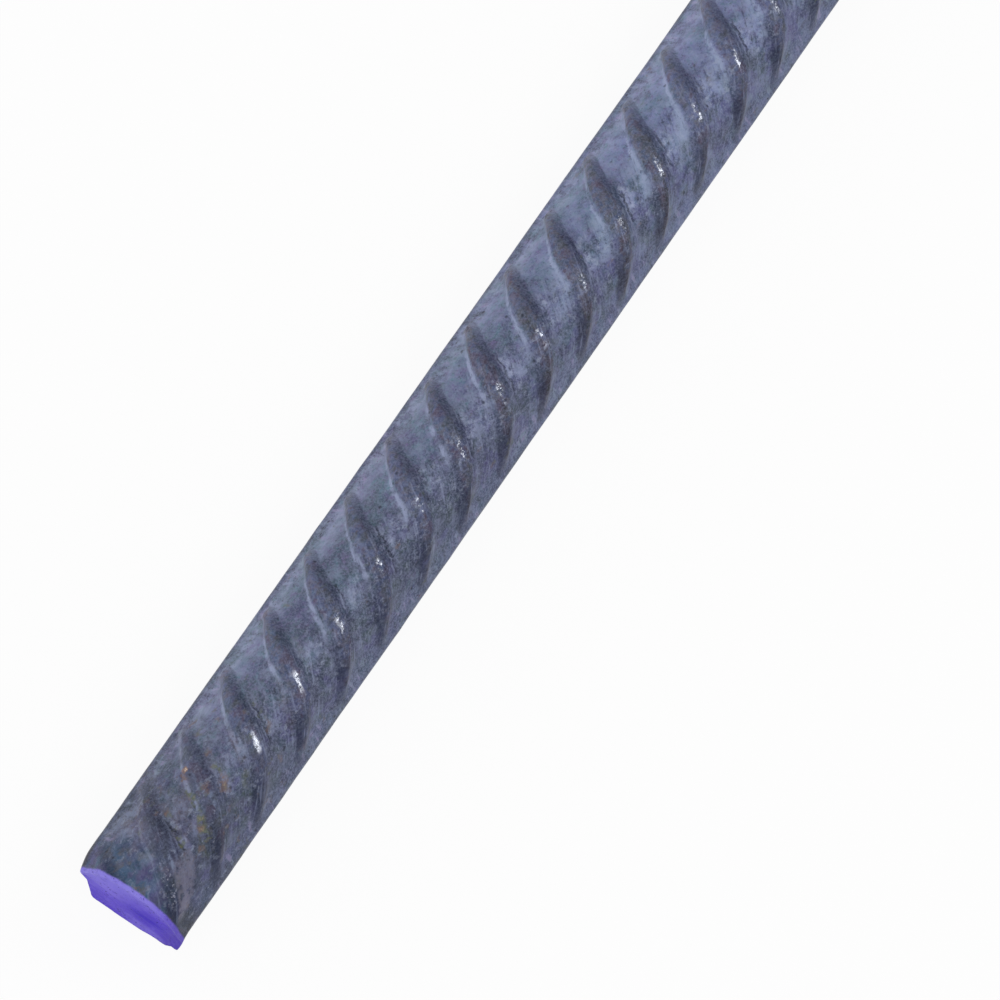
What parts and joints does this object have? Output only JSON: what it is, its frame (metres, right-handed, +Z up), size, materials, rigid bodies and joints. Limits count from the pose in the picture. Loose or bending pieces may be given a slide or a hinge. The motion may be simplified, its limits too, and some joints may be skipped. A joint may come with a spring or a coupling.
{
  "type": "deformed reinforcing bar",
  "caption": "Cut length of hot-rolled deformed reinforcing bar with crescent ribs, cropped ends and a paint-marked end.",
  "frame": {"origin": "middle of the bar's footprint, on the surface it lies on", "axes": "+X along the bar, away from the paint-marked end; the longitudinal ribs face +Y and -Y; +Z up"},
  "size_m": [0.6096, 0.0136, 0.0122],
  "materials": {
    "mill_scale_steel": "hot-rolled mill scale, blue-grey, worn at the ribs, with specks of rust and one end face painted purple"
  },
  "bodies": {
    "root": {"deformed_bar": "mill_scale_steel"}
  },
  "joints": []
}
